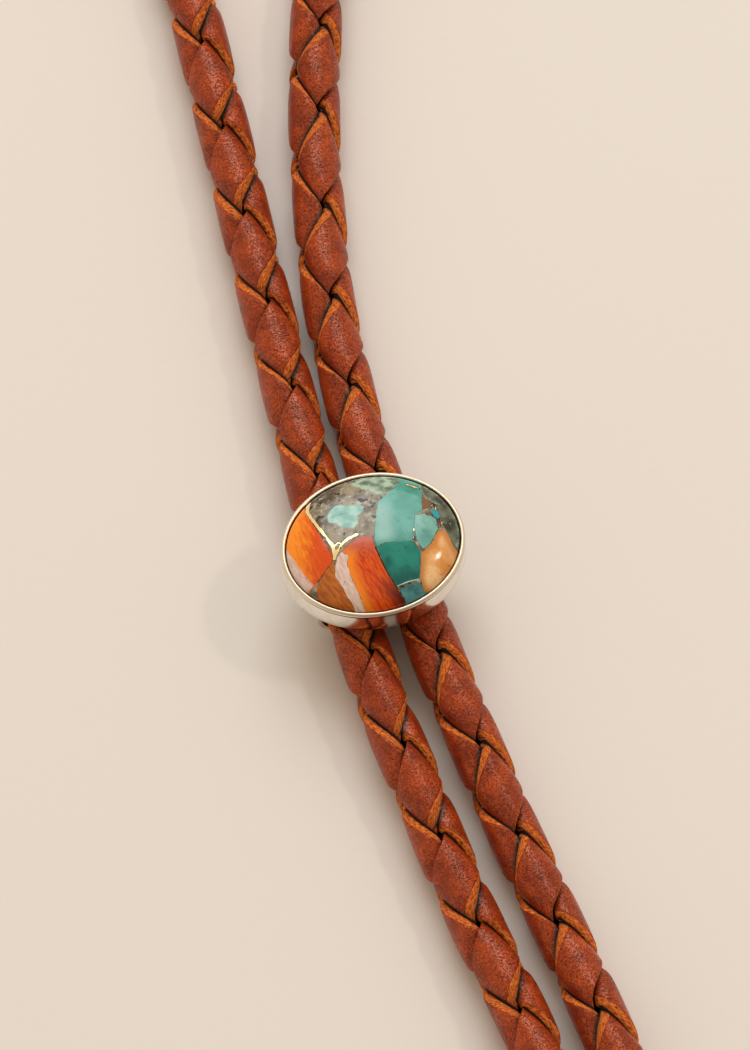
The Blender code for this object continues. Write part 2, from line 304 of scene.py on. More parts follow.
route = LEFT_TAIL + straight_stretch(-1) + LEFT_NECK + NECK_LOOP + RIGHT_NECK
route += straight_stretch(1)[::-1] + RIGHT_TAIL
flat = spline(route)
raised = ease(flat[:, 1], SETTLED_ABOVE, LEVEL_ABOVE) * ease(flat[:, 1], SETTLED_BELOW, LEVEL_BELOW)
at_tip = ease(flat[:, 1], TIP_RISE_START, TIP_RISE_END)
height = CORD_RADIUS + (GUIDE_RADIUS - CORD_RADIUS) * raised + (TIP_RADIUS - CORD_RADIUS) * at_tip
cord_line = np.column_stack([flat, height])
cord_along = np.concatenate([[0], np.cumsum(np.linalg.norm(np.diff(cord_line, axis=0), axis=1))])
first_lobe = cord_along[np.argmax(cord_line[:, 1] > FIRST_LOBE_Y)]
step = BRAID_PITCH / SECTIONS_PER_TURN
cord_start = -math.floor(first_lobe / step) * step
cord_end = math.floor((cord_along[-1] - first_lobe) / step) * step
print("cord", round(1000 * (cord_end - cord_start)), "mm from tip to tip")


def cord_frame(along):
    """Middle, side and up of the cord at distances from its first lobe, as arrays of three columns."""
    along = along + np.interp(along, *zip(*BRAID_SHIFT))

    def point(at):
        return np.column_stack([np.interp(first_lobe + at, cord_along, cord_line[:, k]) for k in range(3)])

    ahead = point(along + LOOK_AHEAD) - point(along - LOOK_AHEAD)
    ahead /= np.linalg.norm(ahead, axis=1)[:, None]
    side = np.cross(ahead, (0, 0, 1))
    side /= np.linalg.norm(side, axis=1)[:, None]
    return point(along), side, np.cross(side, ahead)


# %% [markdown]
# ## Four leather laces
# The cord is a round braid of four flat laces. Two wind to the right and two to the left, and where
# they meet, one lies over the other. Each lace is a strip about 5 mm wide and 1 mm thick, cut from
# tanned hide: smooth and brown on the grain side, raw and orange on its cut edges. The blade was held
# at a slant, so on two of the laces one edge shows a wide raw face and the other only a thin line.
#
# One could bend a strip along a curve with modifiers. Here the surface is worked out point by point
# instead, as a swept mesh: a lace stands high where it crosses over and low where it goes under, and
# how high depends only on the angle between that point and the lace that it crosses.
#
# Four values are stored with each point, in millimetres, and the leather material reads them: how far
# it is past the corner where the grain side ends, how far it is from the crevice beside the next lace,
# how high it stands above the middle of the braid's wall, and its place across and along the lace.

# %% Shape of the laces
LACE_THICKNESS = 0.00110
OVER_UNDER = 0.00062  # how far a lace rises and sinks from the middle of the braid's wall
WALL_MIDDLE = CORD_RADIUS - LACE_THICKNESS / 2 - OVER_UNDER
FIRMNESS = 2.2  # how flat the top of a lobe is before it dips
GRAIN_ENDS = {"right-handed": (-77, 51), "left-handed": (-64, 66)}  # degrees from a lace's middle
FLESH_ENDS = {"right-handed": (-73, 80), "left-handed": (-79, 77)}
EDGE_SWING = {"right-handed": (0, 7), "left-handed": (5, 5)}  # wider where a lace comes out from under
EDGE_SHAPE = [(0.10, 0.05), (0.30, 0.14), (0.55, 0.28), (0.80, 0.48), (0.92, 0.72), (1.0, 1.0)]
CORNER_ROUND = [(0, 0.00010), (0.012, 0.00004), (0.03, 0.00001)]
GRAIN_COLUMNS = 22
FLESH_SHARES = (0.25, 0.5, 0.75)
LACE_STEP = 0.0004
GRAIN_WIDTH_MM, FAR_MM = 7, 1.5
LANE_MM = 7.0  # sets the laces apart, so that no two have the same pattern


def wobble(along, seed):
    """A smooth wobble between -1 and 1 that differs for each seed and is the same at every run."""
    waves = [np.sin(2 * math.pi * along / length + seed * turn)
             for length, turn in ((0.0087, 1.7), (0.0149, 3.1), (0.0331, 5.3))]
    return sum(waves) / 3


def lace_edges(left_handed, half_turn, along):
    """Angles of the four long corners of a lace, each wandering a little as hand-cut leather does."""
    kind, hand = ("left-handed", -1) if left_handed else ("right-handed", 1)
    seed = 1 + 2 * left_handed + half_turn
    meets = 4 * math.pi * along / BRAID_PITCH
    corners = []
    for i, outwards in ((0, -1), (1, 1)):
        flesh = FLESH_ENDS[kind][i] + 3 * wobble(along, seed + 30 + 7 * i)
        coming_out = -hand * np.sin(meets + np.radians(flesh))
        grain = GRAIN_ENDS[kind][i] - outwards * EDGE_SWING[kind][i] * coming_out
        grain = grain + 5 * wobble(along, seed + 10 * i)
        corners.append((np.radians(grain)[:, None], np.radians(flesh)[:, None]))
    (left, left_flesh), (right, right_flesh) = corners
    return left, right, right_flesh, left_flesh


def lift(angle):
    """1 where a lace rides on top of another, -1 where it is underneath, and quick between."""
    return np.tanh(FIRMNESS * np.cos(angle)) / math.tanh(FIRMNESS)


def turned(angle):
    """The same angle between minus half a turn and half a turn."""
    return (angle + math.pi) % (2 * math.pi) - math.pi


def lace_profile():
    """Ring of points round a lace's section: shares of its four corners, depth, and mm past the grain."""
    grain = sorted({share for share, _ in CORNER_ROUND} | {1 - share for share, _ in CORNER_ROUND}
                   | {i / GRAIN_COLUMNS for i in range(1, GRAIN_COLUMNS)})
    depths = dict(CORNER_ROUND) | {1 - share: depth for share, depth in CORNER_ROUND}
    thick = LACE_THICKNESS
    ring = [((1 - g, g, 0, 0), depths.get(g, 0), -GRAIN_WIDTH_MM * min(g, 1 - g)) for g in grain]
    ring += [((0, 1 - e, e, 0), deep * thick, FAR_MM * e) for e, deep in EDGE_SHAPE]
    ring += [((0, 0, 1 - f, f), thick, FAR_MM) for f in FLESH_SHARES]
    ring += [((1 - e, 0, 0, e), deep * thick, FAR_MM * e) for e, deep in reversed(EDGE_SHAPE)]
    return (np.array(column) for column in zip(*ring))


corner_shares, ring_depth, ring_past = lace_profile()
sections = round((cord_end - cord_start) / LACE_STEP)
lace_along = np.linspace(cord_start, cord_end, sections + 1)
print(len(ring_depth), "points round a lace and", sections, "steps along it")

# %% Sweep a lace


def closed_tube(name, rings):
    """A mesh through rings of equally many points, with both ends filled and its faces outwards."""
    count, size = rings.shape[:2]
    corner = np.arange(count * size).reshape(count, size)
    near, far = corner[:-1], corner[1:]
    faces = np.stack([near, np.roll(near, -1, 1), np.roll(far, -1, 1), far], axis=-1).reshape(-1, 4)
    mesh = bpy.data.meshes.new(name)
    mesh.from_pydata(rings.reshape(-1, 3), [], faces.tolist() + [corner[0].tolist(), corner[-1].tolist()])
    tube = bpy.data.objects.new(name, mesh)
    bpy.context.scene.collection.objects.link(tube)
    bpy.ops.object.select_all(action="DESELECT")
    tube.select_set(True)
    bpy.context.view_layer.objects.active = tube
    bpy.ops.object.mode_set(mode="EDIT")
    bpy.ops.mesh.select_all(action="SELECT")
    bpy.ops.mesh.normals_make_consistent(inside=False)
    bpy.ops.object.mode_set(mode="OBJECT")
    bpy.ops.object.shade_smooth_by_angle(angle=math.radians(50))
    return tube


def store(obj, name, values):
    """Keeps a number or a triple with every point of a mesh, for its material to read."""
    kind, field = ("FLOAT", "value") if values.shape[-1] == 1 else ("FLOAT_VECTOR", "vector")
    attribute = obj.data.attributes.new(name, kind, "POINT")
    attribute.data.foreach_set(field, values.astype(np.float32).ravel())


def outer_radius(sign, phase, across):
    return WALL_MIDDLE + OVER_UNDER * sign * lift(2 * phase + across) + LACE_THICKNESS / 2


def crevice_distance(left_handed, half_turn, phase, across, radius):
    """Millimetres from each point to the nearest place where this lace meets a crossing one."""
    sign = -1 if left_handed else 1
    meets = 2 * phase + across
    lower_turn, cover_turn = (math.pi, 0) if left_handed else (0, math.pi)
    slant = np.sqrt(1 + (2 * math.pi * radius / BRAID_PITCH) ** 2)

    cover = lace_edges(not left_handed, half_turn if left_handed else not half_turn, lace_along)
    at_cover = -turned(meets - cover_turn)
    cover_low, cover_high = np.minimum(cover[0], cover[3]), np.maximum(cover[1], cover[2])
    beside = 1000 * np.maximum(cover_low - at_cover, at_cover - cover_high) * radius / slant

    lower = lace_edges(not left_handed, not half_turn if left_handed else half_turn, lace_along)
    at_lower = -turned(meets - lower_turn)
    above = 1000 * (radius - outer_radius(-sign, phase, at_lower))
    off_lower = (at_lower < np.minimum(lower[0], lower[3])) | (at_lower > np.maximum(lower[1], lower[2]))
    above = np.where(off_lower, FAR_MM, above)
    return np.clip(np.minimum(beside, above), -0.5, FAR_MM)


def leather_lace(name, left_handed, half_turn):
    """One strand of the braid, from inside one tip to inside the other."""
    phase = 2 * math.pi * lace_along[:, None] / BRAID_PITCH
    corners = np.concatenate(lace_edges(left_handed, half_turn, lace_along), axis=1)
    across = corners @ corner_shares.T
    sign = -1 if left_handed else 1
    uneven = 0.00003 * wobble(lace_along, 40 + 2 * left_handed + half_turn)[:, None]
    radius = outer_radius(sign, phase, across) - ring_depth[None, :] + uneven
    angle = sign * (phase + (math.pi if half_turn else 0) + across)
    angle += np.radians(np.interp(lace_along, *zip(*BRAID_LEAN)))[:, None]
    middle, side, up = (part[:, None, :] for part in cord_frame(lace_along))
    rings = middle + radius[..., None] * (side * np.sin(angle)[..., None] + up * np.cos(angle)[..., None])
    lace = closed_tube(name, rings)
    across_mm = 1000 * CORD_RADIUS * across
    along_mm = np.broadcast_to(1000 * lace_along[:, None], across.shape)
    store(lace, "past_grain", np.broadcast_to(ring_past, across.shape)[..., None])
    store(lace, "crevice", crevice_distance(left_handed, half_turn, phase, across, radius)[..., None])
    store(lace, "stands", 1000 * (radius - WALL_MIDDLE)[..., None])
    lane = np.full_like(across, LANE_MM * (2 * left_handed + half_turn))
    store(lace, "on_lace", np.stack([across_mm, along_mm, lane], axis=-1))
    return lace


laces = {"lace_1": leather_lace("leather_lace_1", False, False),
         "lace_2": leather_lace("leather_lace_2", False, True),
         "lace_3": leather_lace("leather_lace_3", True, False),
         "lace_4": leather_lace("leather_lace_4", True, True)}
print("four laces of", len(laces["lace_1"].data.polygons), "faces each")

# %% [markdown]
# ## Leather
# Vegetable-tanned leather is dyed through on the grain side and stays light where it is cut. Its grain
# side has fine pores and creases, which break the sheen up into small glints, so the highlight looks
# soft and rosy. The cut edges are matt and fibrous, with dark crumbs. Where two laces meet, the crevice
# is coloured dark as painted shade, and the grain is painted darker where a lace lies low at the ends of
# its lobes, also painted shade. The stored values choose between those finishes, so the border follows
# each lace wherever it turns.

# %% Leather material
GRAIN_DARK, GRAIN_LIGHT = screen(150, 44, 2), screen(190, 68, 10)
RAW_DARK, RAW_LIGHT, RAW_CRUMBS = screen(164, 62, 14), screen(252, 134, 50), screen(96, 30, 8)
# The dark colour of the grain's pores and creases, and of the painted shade in the crevices between laces
PORE_AND_PAINTED_SHADE_COLOUR = screen(22, 7, 3)


def leather_finish():
    leather = Finish("braided_leather")
    on_lace = leather.attribute("on_lace", "Vector")
    fibres = leather.noise(1.0, 4, leather.stretched(on_lace, (9, 2.2, 1)))
    fuzz = leather.noise(1.0, 3, leather.stretched(on_lace, (5, 5, 1)))
    past = leather.math("ADD", leather.attribute("past_grain"),
                        leather.math("MULTIPLY", leather.math("SUBTRACT", fuzz, 0.5), 0.14))
    raw = leather.fade(past, 0.0, 0.045)
    # Painted shade: the crevice where a lace meets a crossing one is coloured nearly black, and a wider band
    # round it is darkened by half
    crevice = leather.fade(leather.attribute("crevice"), 0.28, 0.10)
    shade = leather.fade(leather.attribute("crevice"), 0.70, 0.05)

    cells = leather.add("TexNoise", {"Vector": leather.place, "Scale": 3300, "Detail": 2.0,
                                     "Distortion": 0.4})
    pebbles = leather.fade(leather.math("ABSOLUTE", leather.math("SUBTRACT", cells, 0.5)), 0.006, 0.05)
    pores = leather.fade(leather.add("TexVoronoi", {"Vector": leather.place, "Scale": 2400}), 0.14, 0.24)
    blotches = leather.noise(420, 3)
    grain = leather.mix(leather.fade(blotches, 0.3, 0.7), GRAIN_DARK, GRAIN_LIGHT)
    # Painted shade: where a lace stands low, at the ends of its lobes, the grain is mixed 60% towards
    # GRAIN_DARK
    high = leather.fade(leather.attribute("stands"), 0.2, 1.15)
    grain = leather.mix(high, leather.mix(0.6, grain, GRAIN_DARK), grain)
    grain = leather.mix(pebbles, leather.mix(0.36, grain, PORE_AND_PAINTED_SHADE_COLOUR), grain)
    grain = leather.mix(pores, leather.mix(0.4, grain, PORE_AND_PAINTED_SHADE_COLOUR), grain)
    edge = leather.mix(leather.fade(fibres, 0.36, 0.62), RAW_DARK, RAW_LIGHT)
    crumbs = leather.fade(leather.noise(3000, 2), 0.62, 0.72)
    edge = leather.mix(leather.math("MULTIPLY", crumbs, 0.8), edge, RAW_CRUMBS)
    colour = leather.mix(raw, grain, edge)
    # The painted shade in and round each crevice is laid over the leather's colour here
    colour = leather.mix(leather.math("MULTIPLY", shade, 0.5), colour, PORE_AND_PAINTED_SHADE_COLOUR)
    colour = leather.mix(crevice, colour, PORE_AND_PAINTED_SHADE_COLOUR)

    grain_height = leather.math("ADD", leather.math("MULTIPLY", pores, 0.6), pebbles)
    edge_height = leather.math("SUBTRACT", leather.math("MULTIPLY", fibres, 2.8),
                               leather.math("MULTIPLY", crumbs, 0.8))
    height = leather.add("Mix", {0: raw, 2: grain_height, 3: edge_height})
    leather.set(Base_Color=colour, Normal=leather.bump(height, 0.0001, 1.0),
                Roughness=leather.add("MapRange", {"Value": raw, "To Min": 0.31, "To Max": 0.9}))
    leather.set(Specular_IOR_Level=0.65, Specular_Tint=(1.0, 0.74, 0.54, 1))
    return leather.material


leather = leather_finish()
for node, lace in laces.items():
    lace.data.materials.append(leather)
    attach(lace, "cord")
    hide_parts(node)
print("leather on", len(laces), "laces")

# %% [markdown]
# ## The silver setting
# A jeweller bends a strip of silver into an oval wall, solders it to a back plate, sets the stone and
# rubs the lip of the wall over its edge. Its outline is an oval, so it starts as a filled circle that is
# scaled, and the wall grows out of it by extruding: up the rounded base, in over the lip, and down
# inside. Each extrusion is one step of a short list, which is easier to change than a finished mesh.

# %% Silver cup
OVAL_SEGMENTS = 192
CUP_LENGTH, CUP_WIDTH = 0.0205, 0.0176
CUP_WALL = 0.0005
PLATE_BOTTOM = 2 * GUIDE_RADIUS - 0.0003
PLATE_THICKNESS = 0.0009
CUP_TOP = rim_middle.z
LIP_REACH = 0.00046


def edit(obj, mode):
    """Opens an object in edit mode with nothing selected."""
    bpy.ops.object.select_all(action="DESELECT")
    bpy.context.view_layer.objects.active = obj
    obj.select_set(True)
    bpy.ops.object.mode_set(mode="EDIT")
    bpy.ops.mesh.select_mode(type=mode)
    bpy.ops.mesh.select_all(action="DESELECT")


def pick(obj, mode, wanted):
    """Opens an object in edit mode with those edges or faces selected that wanted says yes to."""
    edit(obj, mode)
    bpy.ops.object.mode_set(mode="OBJECT")
    for part in obj.data.edges if mode == "EDGE" else obj.data.polygons:
        part.select = wanted(part)
    bpy.ops.object.mode_set(mode="EDIT")


def oval_disc(name, half_length, half_width, z):
    """A filled oval in edit mode, selected, ready to be extruded."""
    disc = fresh_object(bpy.ops.mesh.primitive_circle_add, vertices=OVAL_SEGMENTS, radius=1,
                        fill_type="NGON", location=(0, 0, z))
    disc.name = name
    disc.scale = (half_length, half_width, 1)
    bpy.ops.object.transform_apply(location=True, rotation=True, scale=True)
    bpy.ops.object.mode_set(mode="EDIT")
    bpy.ops.mesh.select_all(action="SELECT")
    return disc


def climb(profile):
    """Extrudes the selected oval through steps of half length, half width and height, in metres."""
    half_length, half_width, z = profile[0]
    for next_length, next_width, next_z in profile[1:]:
        bpy.ops.mesh.extrude_region_move(TRANSFORM_OT_translate={"value": (0, 0, next_z - z)})
        bpy.ops.transform.resize(value=(next_length / half_length, next_width / half_width, 1),
                                 center_override=(0, 0, 0))
        half_length, half_width, z = next_length, next_width, next_z


def oval_steps(steps):
    return [(CUP_LENGTH / 2 + grow, CUP_WIDTH / 2 + grow, z) for grow, z in steps]


def polish_shape(obj, sharp=35):
    """Leaves edit mode, turns all faces outwards and smooths what isn't a sharp edge."""
    bpy.ops.mesh.select_all(action="SELECT")
    bpy.ops.mesh.remove_doubles(threshold=0.000002)
    bpy.ops.mesh.normals_make_consistent(inside=False)
    bpy.ops.object.mode_set(mode="OBJECT")
    bpy.ops.object.shade_smooth_by_angle(angle=math.radians(sharp))


BASE_ROUND, BASE_FLARE = 0.0006, 0.00015
INSIDE_WALL = 0.96  # the share of the oval that lies inside its wall
CREVICE_MARGIN = 0.0002
steps = [(BASE_FLARE - BASE_ROUND * (1 - math.sin(t)), PLATE_BOTTOM + BASE_ROUND * (1 - math.cos(t)))
         for t in (math.radians(15 * i) for i in range(7))]
steps += [(BASE_FLARE * 0.8, PLATE_BOTTOM + 0.0011), (BASE_FLARE * 0.3, PLATE_BOTTOM + 0.0018),
          (-0.00008, CUP_TOP - 0.00105), (-0.00012, CUP_TOP - 0.00078), (-0.00004, CUP_TOP - 0.00064),
          (0.00003, CUP_TOP - 0.00048), (0, CUP_TOP - 0.00026),
          (-0.00011, CUP_TOP - 0.00009), (-0.00022, CUP_TOP - 0.00002), (-0.00032, CUP_TOP),
          (-0.00040, CUP_TOP - 0.00003), (-LIP_REACH, CUP_TOP - 0.00011),
          (-LIP_REACH, CUP_TOP - 0.0004), (-CUP_WALL, CUP_TOP - 0.0007),
          (-CUP_WALL, PLATE_BOTTOM + PLATE_THICKNESS)]
cup_profile = oval_steps(steps)
silver_cup = oval_disc("silver_cup", *cup_profile[0])
climb(cup_profile)
polish_shape(silver_cup)
# The inner wall in the crevice round the stone takes the second material, dark silver as painted shade
for face in silver_cup.data.polygons:
    reach = math.hypot(face.center.x / (CUP_LENGTH / 2), face.center.y / (CUP_WIDTH / 2))
    in_crevice = PLATE_BOTTOM + CREVICE_MARGIN < face.center.z < CUP_TOP - CREVICE_MARGIN
    face.material_index = reach < INSIDE_WALL and in_crevice
print("silver cup", len(silver_cup.data.polygons), "faces")

# %% [markdown]
# ## The guide band
# Under the plate a flat silver band holds both cords side by side. It is a box whose four long edges
# are rounded until its sides are half circles. Its two ends are taken off and Solidify gives the sheet
# its thickness, which is simpler than cutting a second, smaller box out of the first.

# %% Guide band
ALMOST_WHOLE = 0.995  # a bevel of the whole radius would leave the side faces without height
BAND_RIM_ROUND = 0.00012


def runs_along_cords(edge):
    a, b = (band.data.vertices[v].co for v in edge.vertices)
    return abs(a.y - b.y) > GUIDE_LENGTH / 2


band = fresh_object(bpy.ops.mesh.primitive_cube_add, size=1, location=(0, 0, GUIDE_RADIUS))
band.name = "guide_band"
band.scale = (CORD_SPACING + 2 * GUIDE_RADIUS, GUIDE_LENGTH, 2 * GUIDE_RADIUS)
bpy.ops.object.transform_apply(location=True, rotation=True, scale=True)
pick(band, "EDGE", runs_along_cords)
bpy.ops.mesh.bevel(offset=GUIDE_RADIUS * ALMOST_WHOLE, segments=20, affect="EDGES")
bpy.ops.object.mode_set(mode="OBJECT")
pick(band, "FACE", lambda face: abs(face.normal.y) > 0.9)
bpy.ops.mesh.delete(type="ONLY_FACE")
polish_shape(band)
wall = band.modifiers.new("wall", "SOLIDIFY")
wall.thickness = GUIDE_WALL
wall.offset = -1
rim_bevel = band.modifiers.new("soft rims", "BEVEL")
rim_bevel.width = BAND_RIM_ROUND
rim_bevel.segments = 3
rim_bevel.angle_limit = math.radians(50)
for modifier in [m.name for m in band.modifiers]:
    bpy.ops.object.modifier_apply(modifier=modifier)
bpy.ops.object.shade_smooth_by_angle(angle=math.radians(40))
print("guide band", len(band.data.polygons), "faces")

# %% [markdown]
# ## The tips
# The photo cuts both tails off just before their ends, so the tips are the plain kind: a silver sleeve
# over the braid, drawn in to a rounded point. A tip is turned work. It starts as a small disc and is
# extruded along its axis, wider or narrower at each step, then it is turned and moved onto its tail.

# %% Silver tips
TIP_LENGTH, TIP_SOCKET_DEPTH = 0.0300, 0.0085
TIP_BORE = CORD_RADIUS + TIP_CLEARANCE
TIP_OUTSIDE = [(0.00, 0.955), (0.008, 1.0), (0.045, 1.0), (0.055, 0.96), (0.07, 0.94), (0.30, 0.94),
               (0.45, 0.91), (0.58, 0.83), (0.70, 0.72), (0.80, 0.61), (0.88, 0.50), (0.94, 0.39),
               (0.975, 0.29), (0.992, 0.18), (1.00, 0.06)]  # shares of its length and radius


def silver_tip(name, end, outwards):
    """A sleeve over one end of the cord. The end is a distance along it, and outwards is 1 or -1."""
    middle, side, up = (Vector(part[0]) for part in cord_frame(np.array([end])))
    ahead = side.cross(up) * -outwards
    profile = [(TIP_BORE, TIP_BORE, TIP_SOCKET_DEPTH + TIP_CLEARANCE), (TIP_BORE, TIP_BORE, 0)]
    profile += [(share * TIP_RADIUS, share * TIP_RADIUS, far * TIP_LENGTH) for far, share in TIP_OUTSIDE]
    tip = fresh_object(bpy.ops.mesh.primitive_circle_add, vertices=64, radius=TIP_BORE,
                       fill_type="NGON", location=(0, 0, profile[0][2]))
    tip.name = name
    bpy.ops.object.transform_apply(location=True, rotation=True, scale=True)
    bpy.ops.object.mode_set(mode="EDIT")
    bpy.ops.mesh.select_all(action="SELECT")
    climb(profile)
    polish_shape(tip, 30)
    tip.matrix_world = (Matrix.Translation(middle - ahead * TIP_SOCKET_DEPTH)
                        @ ahead.to_track_quat("Z", "Y").to_matrix().to_4x4())
    bpy.ops.object.transform_apply(location=True, rotation=True, scale=True)
    return tip


tips = {"tip_left": silver_tip("silver_tip_left", cord_start, -1),
        "tip_right": silver_tip("silver_tip_right", cord_end, 1)}
print("two tips of", len(tips["tip_left"].data.polygons), "faces")

# %% [markdown]
# ## Polished silver
# Silver shows little colour of its own and mirrors the room. Handling leaves hairline scratches and
# faint dents, so its roughness and its surface vary slightly: noises at different sizes do that, and
# without them a metal looks like plastic chrome. The rubbed lip is a little rougher and warmer than the
# wall, and at the front short dark lines just below it are painted reflection, dark streaks painted
# into the silver's colour.

# %% Silver material
LIP_STARTS, LIP_WHOLE = CUP_TOP - 0.00034, CUP_TOP - 0.0002
LIP_EXTRA_ROUGHNESS = 0.26
# The height of the painted dark reflection lines below the lip, and the distances from it where they fade
# out
PAINTED_REFLECTION_HEIGHT = CUP_TOP - 0.00058
PAINTED_REFLECTION_ENDS, PAINTED_REFLECTION_WHOLE = 0.00028, 0.00018  # distances from that height
FRONT_STARTS, FRONT_WHOLE = -0.002, -0.006


def silver_finish():
    silver = Finish("polished_silver")
    handling = silver.noise(650, 4)
    hairlines = silver.noise(1, 2, silver.stretched(silver.place, (900, 5200, 2600)))
    dents = silver.noise(230, 2)
    tone = silver.mix(silver.fade(handling, 0.35, 0.75), screen(246, 241, 233), screen(232, 224, 212))
    sides = silver.add("SeparateXYZ", {"Vector": silver.place}).node
    lip = silver.fade(sides.outputs["Z"], LIP_STARTS, LIP_WHOLE)
    tone = silver.mix(lip, tone, screen(232, 216, 192))
    # Painted reflection: short broken dark lines just below the lip, on the front of the cup only
    off_painted_reflection = silver.math("ABSOLUTE", silver.math("SUBTRACT", sides.outputs["Z"], PAINTED_REFLECTION_HEIGHT))
    line = silver.math("MULTIPLY", silver.fade(off_painted_reflection, PAINTED_REFLECTION_ENDS, PAINTED_REFLECTION_WHOLE),
                       silver.fade(silver.noise(330, 3), 0.40, 0.47))
    line = silver.math("MULTIPLY", line, silver.fade(sides.outputs["Y"], FRONT_STARTS, FRONT_WHOLE))
    tone = silver.mix(silver.math("MULTIPLY", line, 0.9), tone, screen(38, 30, 26))
    surface = silver.bump(dents, 0.00016, 0.5)
    surface = silver.bump(hairlines, 0.000004, 0.5, surface)
    polish = silver.add("MapRange", {"Value": handling, "To Min": 0.09, "To Max": 0.22})
    roughness = silver.math("ADD", silver.math("MULTIPLY", lip, LIP_EXTRA_ROUGHNESS), polish)
    silver.set(Base_Color=tone, Metallic=1.0, Normal=surface, Roughness=roughness)
    return silver.material


def crevice_shade_finish():
    """Dark silver on the inner wall in the crevice round the stone, as painted shade where the gap is seen.
    """
    shade_silver = Finish("crevice_shade_silver")
    shade_silver.set(Base_Color=shade_silver.mix(shade_silver.noise(900), screen(34, 28, 24), screen(66, 54, 44)),
                Metallic=0.6, Roughness=0.5)
    return shade_silver.material


silver = silver_finish()
for piece, body, node, finish_slot in ((silver_cup, "slide", "slide_setting", "silver"),
                                       (band, "slide", "slide_setting", "silver"),
                                       (tips["tip_left"], "cord", "tip_left", "tip_metal"),
                                       (tips["tip_right"], "cord", "tip_right", "tip_metal")):
    piece.data.materials.append(silver)
    if piece == silver_cup:
        piece.data.materials.append(crevice_shade_finish())
    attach(piece, body)
    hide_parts(node)
print("silver on the cup, the band and the tips")

# %% [markdown]
# ## The stone
# The stone is a composite cabochon: chips of turquoise and orange shell are pressed together with
# bronze and ground to an oval dome. A ball cut in half and pressed flat is such a dome, so it starts as
# a UV sphere. The lower half is bisected away and its open edge is extruded down into the cup.

# %% Stone
STONE_GIRDLE_DROP, STONE_DOME = 0.0004, 0.0026
STONE_GAP = 0.00006
stone_length = CUP_LENGTH / 2 - CUP_WALL - STONE_GAP
stone_width = CUP_WIDTH / 2 - CUP_WALL - STONE_GAP
girdle = CUP_TOP - STONE_GIRDLE_DROP
stone = fresh_object(bpy.ops.mesh.primitive_uv_sphere_add, segments=320, ring_count=180, radius=1)
stone.name = "composite_cabochon"
bpy.ops.object.mode_set(mode="EDIT")
bpy.ops.mesh.select_all(action="SELECT")
bpy.ops.mesh.bisect(plane_co=(0, 0, 0), plane_no=(0, 0, 1), clear_inner=True, clear_outer=False)
bpy.ops.object.mode_set(mode="OBJECT")
stone.scale = (stone_length, stone_width, STONE_DOME)
stone.location = (0, 0, girdle)
bpy.ops.object.transform_apply(location=True, rotation=True, scale=True)
edit(stone, "EDGE")
bpy.ops.mesh.select_non_manifold()
bpy.ops.mesh.extrude_region_move(
    TRANSFORM_OT_translate={"value": (0, 0, PLATE_BOTTOM + PLATE_THICKNESS + 0.0003 - girdle)})
bpy.ops.mesh.edge_face_add()
polish_shape(stone, 60)
print("stone", len(stone.data.polygons), "faces")

# %% [markdown]
# ## The chips in the stone
# Each chip is a short outline, read off an enlarged piece of the photo, in its pixels. Every
# point of the dome is looked up where the camera sees it, and its distance to each outline is stored in
# millimetres, more than 0 inside. The material cuts those distances off at 0, which keeps the borders
# sharp at any zoom, and a little noise roughens them. Painting a picture onto the stone would be easier,
# but it would blur up close and need an image file.

# %% Chips
ENLARGED_LEFT, ENLARGED_TOP, ENLARGEMENT = 260, 450, 6.817
PIXELS_PER_MM = ENLARGEMENT * PIXELS_PER_METRE / 1000
STREAKS_MIDDLE = (770, 654)  # the enlarged pixel from which the streaks are measured
CHIPS = {
    "green_speckle": [(610, 240), (700, 190), (900, 165), (975, 215), (862, 292), (800, 302), (700, 268)],
    "olive": [(1080, 240), (1130, 310), (1205, 420), (1255, 520), (1350, 700), (1500, 720), (1500, 150)],
    "aqua": [(455, 455), (475, 420), (510, 385), (560, 372), (600, 385), (640, 378), (665, 370),
             (705, 385), (700, 425), (660, 450), (672, 500), (640, 530), (560, 528), (520, 500), (470, 498)],
    "turquoise": [(900, 130), (1100, 240), (1108, 400), (1052, 450), (1062, 560), (1045, 622), (850, 628),
                  (797, 662), (780, 600), (782, 520), (797, 400), (805, 350), (862, 300), (955, 225)],
    "teal": [(797, 662), (850, 628), (1045, 620), (1095, 690), (1090, 868), (1072, 882), (940, 930),
             (872, 838)],
    "blue_teal": [(948, 948), (1075, 900), (1128, 930), (1150, 1000), (1000, 1060)],
    "light_aqua": [(1058, 450), (1120, 432), (1200, 468), (1213, 540), (1160, 640), (1112, 675),
                   (1066, 610), (1052, 520)],
    "right_amber": [(1215, 545), (1262, 548), (1330, 675), (1420, 760), (1330, 900), (1200, 1010),
                    (1118, 962), (1092, 880), (1102, 702), (1172, 632)],
    "left_shell": [(100, 250), (338, 330), (316, 440), (396, 560), (484, 700), (502, 746), (368, 932),
                   (250, 1100), (40, 900)],
    "pale_rim": [(120, 600), (180, 680), (222, 740), (300, 850), (366, 926), (300, 1000), (80, 850)],
    "amber": [(502, 748), (384, 930), (420, 1150), (660, 1150), (646, 1075), (516, 850)],
    "mauve": [(520, 740), (556, 690), (604, 700), (600, 790), (640, 900), (745, 1150), (655, 1150),
              (642, 1075), (510, 850)],
    "red_shell": [(556, 690), (612, 632), (692, 582), (764, 592), (790, 672), (870, 840), (990, 1030),
                  (1010, 1150), (745, 1150), (640, 900), (594, 790), (604, 715)],
    "blue_bit": [(1160, 402), (1202, 408), (1228, 450), (1214, 472), (1172, 432)],
    "brown_bit": [(1102, 312), (1160, 352), (1172, 398), (1108, 402)],
}
